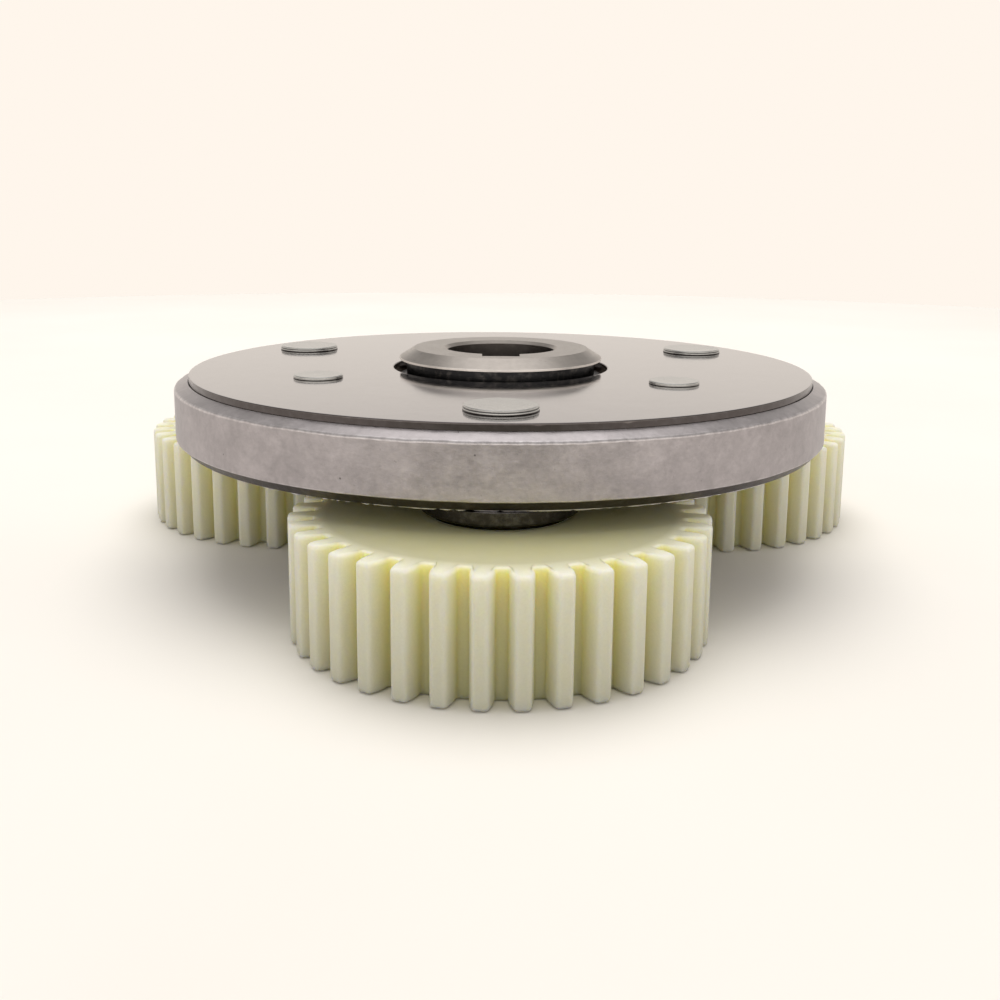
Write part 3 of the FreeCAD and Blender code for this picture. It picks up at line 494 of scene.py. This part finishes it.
# painted shade: the plate's outer side and the edge of its bore beside the hub are darkened
plate = lathe("top_cover_plate_detail", rounded([
    (11.97, 18.9, 0.0), (34.0, 18.9, 0.0), (34.0, 19.3, 0.0), (34.0, 19.55, 0.0), (34.0, 19.8, 0.0), (34.0, 20.1, 0.10),
    (11.97, 20.1, 0.08)], support=0.12), 720, top_warp,
    painted_shade=lambda r, z: 1.0 if r > 33.93 or r < 12.06 else 0.0)
drill(plate, HOLES, 18.0, 21.0)
give(plate, M["plate"])
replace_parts(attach(plate, "carrier"), "top_cover_plate")

# ------------------------------------------------------------------ pins and rivets
for i in range(3):
    x, y = pin_spot(i)
    # painted shade: the spacer and collar down in the gear's recess are darkened to near black; painted shadow lines
    # round the head's foot on the plate and in the step of the head
    pin = lathe("planet_pin_%d_detail" % (i + 1), rounded([
        (0, 0.6, 0), (3.6, 0.6, 0.1), (3.98, 0.9, 0.05), (3.98, 1.1, 0.02), (3.8, 1.1, 0), (3.8, 2.0, 0),
        (3.98, 2.0, 0.02), (3.98, 9.0, 0), (5.8, 9.0, 0.05), (5.8, 11.25, 0), (7.3, 11.25, 0.22), (7.3, 12.5, 0),
        (3.2, 12.5, 0), (3.2, 20.1, 0), (3.47, 20.1, 0.03), (3.47, 20.33, 0.06), (3.37, 20.345, 0.02),
        (3.37, 20.37, 0.02), (3.42, 20.385, 0.03), (3.42, 20.6, 0.10), (2.7, 20.585, 0.3), (0, 20.57, 0)],
        k=3, closed=False), 128, centre=(x, y),
        painted_shade=lambda r, z: 1.0 if 8.9 < z < 12.6 or (20.05 < z < 20.2 and r > 3.3) else 0.75 if 20.33 < z < 20.39 else 0.0)
    give(pin, M["pin"])
    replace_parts(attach(pin, "carrier"), "planet_pin_%d" % (i + 1))
rivet_parts = []
for i in range(3):
    x, y = rivet_spot(i)
    # painted shadow: a dark line round each head's foot on the plate
    rv = lathe("rivet", rounded([
        (0, 12.2, 0), (2.3, 12.2, 0.12), (2.3, 12.5, 0), (1.5, 12.5, 0), (1.5, 20.1, 0), (2.57, 20.1, 0.02),
        (2.57, 20.20, 0.0), (2.57, 20.45, 0.11), (1.9, 20.445, 0.3), (0, 20.42, 0)], k=3, closed=False), 96, centre=(x, y),
        painted_shade=lambda r, z: 1.0 if 20.05 < z < 20.16 and r > 1.4 else 0.0)
    rivet_parts.append(rv)
bm = bmesh.new()
for rv in rivet_parts:
    me = rv.data.copy()
    me.transform(Matrix.Translation(rv.location))
    bm.from_mesh(me)
me = bpy.data.meshes.new("cover_rivets_detail")
bm.to_mesh(me)
bm.free()
for rv in rivet_parts:
    bpy.data.objects.remove(rv)
me.shade_smooth()
me.set_sharp_from_angle(angle=math.radians(32))
rivets = bpy.data.objects.new("cover_rivets_detail", me)
scene.collection.objects.link(rivets)
give(rivets, M["pin"])
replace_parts(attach(rivets, "carrier"), "cover_rivets")

# ------------------------------------------------------------------ planet gears
TEETH, TIP, ROOT, BASE = 36, 19.0, 16.8, 18.0 * math.cos(math.radians(14.5))
WIDTH = 10.85


def inv(a):
    return math.tan(a) - a


HALF = 1.833 / 36 + inv(math.radians(14.5))


def half_angle(r, d):
    a = math.acos(min(1.0, BASE / r)) if r > BASE else 0.0
    return HALF - inv(a) - d / r


def corner(c, u1, u2, rad, k):
    ang = u1.angle(u2)
    t = rad / math.tan(ang / 2)
    centre = c + (u1 + u2).normalized() * (rad / math.sin(ang / 2))
    v0, v1 = c + u1 * t - centre, c + u2 * t - centre
    turn = math.atan2(v0.x * v1.y - v0.y * v1.x, v0.dot(v1))
    pts = []
    for j in range(k + 1):
        q = turn * j / k
        pts.append(centre + Vector((v0.x * math.cos(q) - v0.y * math.sin(q), v0.x * math.sin(q) + v0.y * math.cos(q))))
    return pts, t


def half_tooth(d, root_fillet=0.32, tip_round=0.38):
    """From the middle of a tooth space to the middle of the tooth's tip, the tooth
    centred on angle 0 and the surface moved d into the material."""
    rt, rr = TIP - d, ROOT - d * 0.6
    pol = lambda r, a: Vector((r * math.cos(a), r * math.sin(a)))
    a_root = -math.pi / TEETH
    b_ang = -half_angle(rr, d)
    b = pol(rr, b_ang)
    along_root = (pol(rr, b_ang - 0.002) - b).normalized()
    up = (pol(rr + 0.1, -half_angle(rr + 0.1, d)) - b).normalized()
    low, t_low = corner(b, along_root, up, min(root_fillet, 0.32) + d * 0.3, 4)
    c = pol(rt, -half_angle(rt, d))
    down = (pol(rt - 0.1, -half_angle(rt - 0.1, d)) - c).normalized()
    along_tip = (pol(rt, -half_angle(rt, d) + 0.002) - c).normalized()
    top, t_top = corner(c, down, along_tip, max(tip_round - d * 0.5, 0.05), 4)
    pts = [pol(rr, a_root), pol(rr, (a_root + math.atan2(low[0].y, low[0].x)) / 2)] + low
    r0, r1 = low[-1].length, top[0].length
    for j in range(1, 7):
        r = r0 + (r1 - r0) * j / 7.0
        pts.append(pol(r, -half_angle(r, d)))
    pts += top
    pts += [pol(rt, math.atan2(top[-1].y, top[-1].x) / 2), pol(rt, 0.0)]
    return pts


def tooth_loop(d):
    h = half_tooth(d)
    full = h + [Vector((p.x, -p.y)) for p in reversed(h[1:-1])]
    pts = []
    for k in range(TEETH):
        a = 2 * math.pi * k / TEETH
        ca, sa = math.cos(a), math.sin(a)
        pts += [(p.x * ca - p.y * sa, p.x * sa + p.y * ca) for p in full]
    return pts


def make_gear(i):
    loops, groove_shade, top_face_shade = [], [], []          # each loop: points (x, y, z) in mm about the pin

    def add(points, z, g, shade_under_disc=0.0):
        loops.append([(p[0], p[1], z) for p in points])
        top_face_shade.append([shade_under_disc] * len(points))
        groove_shade.append([g(math.hypot(p[0], p[1])) for p in points])

    flat = lambda v: (lambda r: v)
    # painted shade: the olive tint grows from the tooth tips down into the tooth spaces, and is weaker on the top
    # rounding
    side = lambda r: min(1.0, max(0.0, (18.75 - r) / 1.7)) ** 1.2
    top_side = lambda r: 0.35 * side(r)
    low_r, top_r = 0.42, 0.32
    base = tooth_loop(0.0)
    angles = [math.atan2(p[1], p[0]) for p in base]
    ring_of = lambda r: [(r * math.cos(a), r * math.sin(a)) for a in angles]
    for r, z in ((14.0, 0.0), (16.0, 0.0)):
        add(ring_of(r), z, flat(0.15))
    for j in range(5):
        q = math.pi / 2 * j / 4
        add(tooth_loop(low_r * (1 - math.sin(q))), low_r * (1 - math.cos(q)), side)
    for z in (0.5, 1.6, 3.2, 5.2, 7.4, 9.2, 10.1, 10.42):
        add(base, z, side)
    for j in range(4):
        q = math.pi / 2 * j / 3
        add(tooth_loop(top_r * (1 - math.cos(q))), WIDTH - top_r * (1 - math.sin(q)), top_side if j > 1 else side)
    # the top face gets painted shade: an olive tint deepening towards the pin, and darkening all over under the disc
    for r, z, g in ((16.2, WIDTH, 0.2), (15.6, WIDTH, 0.28), (13.5, WIDTH, 0.5), (11.2, WIDTH, 0.6), (8.6, WIDTH, 0.65),
                    (6.8, WIDTH, 0.65)):
        add(ring_of(r), z, flat(g), 1.0 if r < 16 else 0.6)
    for r, z in ((6.55, WIDTH), (6.38, WIDTH - 0.07),
                 (6.3, WIDTH - 0.25), (6.3, WIDTH - 0.4), (6.3, 9.0), (11.0, 9.0), (11.0, 2.0), (11.5, 2.0), (11.5, 0.9),
                 (11.1, 0.9), (11.1, 0.35), (11.1, 0.25), (11.17, 0.08), (11.35, 0.0), (11.5, 0.0)):
        add(ring_of(r), z, flat(0.15))
    n = len(base)
    t = math.radians(-90 + 120 * i + 5.52)
    ct, st = math.cos(t), math.sin(t)
    verts = [((x * ct - y * st) * MM, (x * st + y * ct) * MM, (z - DROP) * MM) for loop in loops for x, y, z in loop]
    faces = []
    m = len(loops)
    for a in range(m):
        b = (a + 1) % m
        for j in range(n):
            j2 = (j + 1) % n
            faces.append((a * n + j, a * n + j2, b * n + j2, b * n + j))
    ob = mesh_object("planet_gear_%d_detail" % (i + 1), verts, faces, {"groove_shade": [g for row in groove_shade for g in row],
                      "top_face_shade": [g for row in top_face_shade for g in row]}, 40)
    x, y = pin_spot(i)
    ob.location = (x * MM, y * MM, 0)
    give(ob, nylon("nylon_%d" % (i + 1), float(i + 1)))
    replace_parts(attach(ob, "planet_%d" % (i + 1)), "planet_gear_%d" % (i + 1))
    return ob


for i in range(3):
    make_gear(i)

# ------------------------------------------------------------------ springs of the clutch
for k in range(1, 7):
    a = math.radians(75 + 60 * (k - 1))
    out, side = Vector((math.cos(a), math.sin(a), 0)), Vector((-math.sin(a), math.cos(a), 0))
    up = Vector((0, 0, 1))
    axis0 = out * 13.9 + Vector((0, 0, 16.3 - DROP))
    start, end = 1.43 + 0.15, 5.37 - 0.15
    wire, mean, steps, sect = 0.15, 0.74, 170, 10
    turns = 7.0
    verts, faces = [], []
    for s in range(steps + 1):
        t = s / steps
        # closed end coils, open in the middle
        ease = t if t < 0 else (0.5 - 0.5 * math.cos(math.pi * t)) * 0.35 + t * 0.65
        q = 2 * math.pi * turns * t
        along = start + (end - start) * ease
        c = axis0 + side * along + (out * math.cos(q) + up * math.sin(q)) * mean
        rad = (out * math.cos(q) + up * math.sin(q))
        for j in range(sect):
            w = 2 * math.pi * j / sect
            verts.append((c + rad * (wire * math.cos(w)) + side * (wire * math.sin(w))) * MM)
    for s in range(steps):
        for j in range(sect):
            j2 = (j + 1) % sect
            faces.append((s * sect + j, s * sect + j2, (s + 1) * sect + j2, (s + 1) * sect + j))
    faces.append(tuple(range(sect)))
    faces.append(tuple(steps * sect + j for j in range(sect)))
    sp = mesh_object("roller_spring_%d_detail" % k, verts, faces, None, 50)
    give(sp, M["spring"])
    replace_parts(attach(sp, "hub"), "roller_spring_%d" % k)
    tuple(side)
    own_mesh(sp)

# ------------------------------------------------------------------ CAD pieces that stay
for name, ob in frame["nodes"].items():
    if ob.hide_render:
        continue
    key = None
    if name == "clutch_hub":
        key = "hub"
    elif name.endswith("_bush"):
        key = "bronze"
    elif name.startswith(("bearing_outer", "bearing_inner", "bearing_balls", "clutch_roller")):
        key = "bearing"
    elif name.startswith("bearing_shields"):
        key = "shield"
    elif name.startswith("ball_cage"):
        key = "cage"
    elif "circlip" in name:
        key = "clip"
    elif name.startswith("roller_plunger"):
        key = "spring"
    give(ob, M[key])

# ------------------------------------------------------------------ floor, light, camera
bm = bmesh.new()
seg, rings_n = 128, [0.0, 0.03, 0.08, 0.16, 0.26, 0.362]
FLOOR = (-DROP - 0.02) * MM
vs = [[bm.verts.new((0, 0, FLOOR))]]
for r in rings_n[1:]:
    vs.append([bm.verts.new((r * math.cos(2 * math.pi * j / seg), r * math.sin(2 * math.pi * j / seg), FLOOR))
               for j in range(seg)])
for j in range(seg):
    bm.faces.new((vs[0][0], vs[1][j], vs[1][(j + 1) % seg]))
for a in range(1, len(vs) - 1):
    for j in range(seg):
        j2 = (j + 1) % seg
        bm.faces.new((vs[a][j], vs[a + 1][j], vs[a + 1][j2], vs[a][j2]))
me = bpy.data.meshes.new("floor")
bm.to_mesh(me)
bm.free()
floor = bpy.data.objects.new("floor", me)
scene.collection.objects.link(floor)
m, nt, bsdf = material("floor_paper")
tc = node(nt, "ShaderNodeTexCoord")
n = node(nt, "ShaderNodeTexNoise", {"Vector": tc.outputs["Object"], "Scale": 14.0, "Detail": 3.0}).outputs["Fac"]
nt.links.new(ramp(nt, n, [(0.3, (0.90, 0.875, 0.83)), (0.7, (0.93, 0.91, 0.87))]), bsdf.inputs["Base Color"])
bsdf.inputs["Roughness"].default_value = 0.85
bsdf.inputs["Specular IOR Level"].default_value = 0.15
# The paper gives back less light to the part than it shows, as an overexposed sweep does, with a painted shadow of the
# camera on it in front of the part.
camera_shadow_distance = node(nt, "ShaderNodeVectorMath", {0: tc.outputs["Object"], 1: (0.0, -0.125, -DROP * MM)}, operation="DISTANCE")
shade = ramp(nt, camera_shadow_distance.outputs["Value"], [(0.0, (0.30, 0.295, 0.265)), (0.03, (0.34, 0.33, 0.30)), (0.10, (0.64, 0.615, 0.60))])
dim = node(nt, "ShaderNodeBsdfDiffuse", {"Color": shade})
lp = node(nt, "ShaderNodeLightPath")
mx = node(nt, "ShaderNodeMixShader", {0: lp.outputs["Is Camera Ray"], 1: dim.outputs[0], 2: bsdf.outputs[0]})
out = [q for q in nt.nodes if q.type == "OUTPUT_MATERIAL"][0]
# Seen from below, the paper is left out.
geo = node(nt, "ShaderNodeNewGeometry")
clear = node(nt, "ShaderNodeBsdfTransparent")
mx = node(nt, "ShaderNodeMixShader", {0: geo.outputs["Backfacing"], 1: mx.outputs[0], 2: clear.outputs[0]})
nt.links.new(mx.outputs[0], out.inputs["Surface"])
give(floor, m)

world = bpy.data.worlds.new("studio")
scene.world = world
world.use_nodes = True
wt = world.node_tree
wt.nodes.clear()
wout = wt.nodes.new("ShaderNodeOutputWorld")
bg = wt.nodes.new("ShaderNodeBackground")
wt.links.new(bg.outputs[0], wout.inputs[0])
wc = wt.nodes.new("ShaderNodeTexCoord")
ws = wt.nodes.new("ShaderNodeSeparateXYZ")
wt.links.new(wc.outputs["Generated"], ws.inputs[0])
# bright round the horizon, dimmer above it, and bright again overhead
sky = ramp(wt, ws.outputs[2], [(0.0, (1.0, 0.922, 0.838)), (0.165, (1.0, 0.922, 0.838)), (0.26, (0.80, 0.755, 0.715)),
                               (0.42, (0.44, 0.425, 0.41)), (0.74, (0.46, 0.445, 0.43)), (0.90, (0.74, 0.72, 0.70)),
                               (1.0, (0.74, 0.72, 0.70))])
dot = wt.nodes.new("ShaderNodeVectorMath")
dot.operation = "DOT_PRODUCT"
wt.links.new(wc.outputs["Generated"], dot.inputs[0])
dot.inputs[1].default_value = (0.0, 0.45, 0.893)
glow = ramp(wt, dot.outputs["Value"], [(0.90, (0.0, 0.0, 0.0)), (0.975, (1.0, 0.98, 0.98))])
front = ramp(wt, math_node(wt, "MULTIPLY", ws.outputs[1], -1.0), [(0.25, (0.0, 0.0, 0.0)), (0.75, (0.42, 0.41, 0.39))])
front = mix(wt, 1.0, front, ramp(wt, ws.outputs[2], [(0.0, (1.0,) * 3), (0.30, (1.0,) * 3), (0.62, (0.0,) * 3)]), "MULTIPLY")
glow = mix(wt, 1.0, glow, front, "ADD")
wt.links.new(mix(wt, 1.0, sky, glow, "ADD"), bg.inputs["Color"])
bg.inputs["Strength"].default_value = 1.0


def area(name, loc, size, energy, aim=(0, 0, 0), colour=(1, 1, 1)):
    la = bpy.data.lights.new(name, "AREA")
    la.shape = "RECTANGLE"
    la.size, la.size_y = size
    la.energy = energy
    la.color = colour
    ob = bpy.data.objects.new(name, la)
    scene.collection.objects.link(ob)
    ob.location = loc
    ob.rotation_euler = (Vector(aim) - Vector(loc)).to_track_quat("-Z", "Y").to_euler()
    return ob


top = area("softbox_top", (0.0, 0.15, 0.58), (0.55, 0.55), 2.1, colour=(1.0, 0.965, 0.92))
top.visible_glossy = False

# Camera: a phone close to the part, a little above the disc.
LENS_PX, CX, CY = 1142.275, 500.107, 419.076
az, el, roll = math.radians(-0.1523), math.radians(10.7732), math.radians(0.4943)
back = Vector((math.sin(az) * math.cos(el), -math.cos(az) * math.cos(el), math.sin(el)))
right = Vector((math.cos(az), math.sin(az), 0))
up = back.cross(right)
eye = (Vector((0, 0, 14.0 - DROP)) + back * 129.857) * MM
rx = right * math.cos(roll) + up * math.sin(roll)
uy = up * math.cos(roll) - right * math.sin(roll)
cam = bpy.data.cameras.new("camera")
cam.sensor_width = 36.0
cam.lens = LENS_PX / 1000.0 * 36.0
cam.shift_x = -(CX - 500.0) / 1000.0
cam.shift_y = (CY - 500.0) / 1000.0
cam.clip_start = 0.005
cam.clip_end = 10.0
cam.dof.use_dof = False
camera = bpy.data.objects.new("camera", cam)
scene.collection.objects.link(camera)
camera.matrix_world = Matrix(((rx.x, uy.x, back.x, eye.x), (rx.y, uy.y, back.y, eye.y),
                              (rx.z, uy.z, back.z, eye.z), (0, 0, 0, 1)))
scene.camera = camera
scene.view_settings.view_transform = "Standard"
scene.view_settings.look = "None"

bpy.context.view_layer.update()
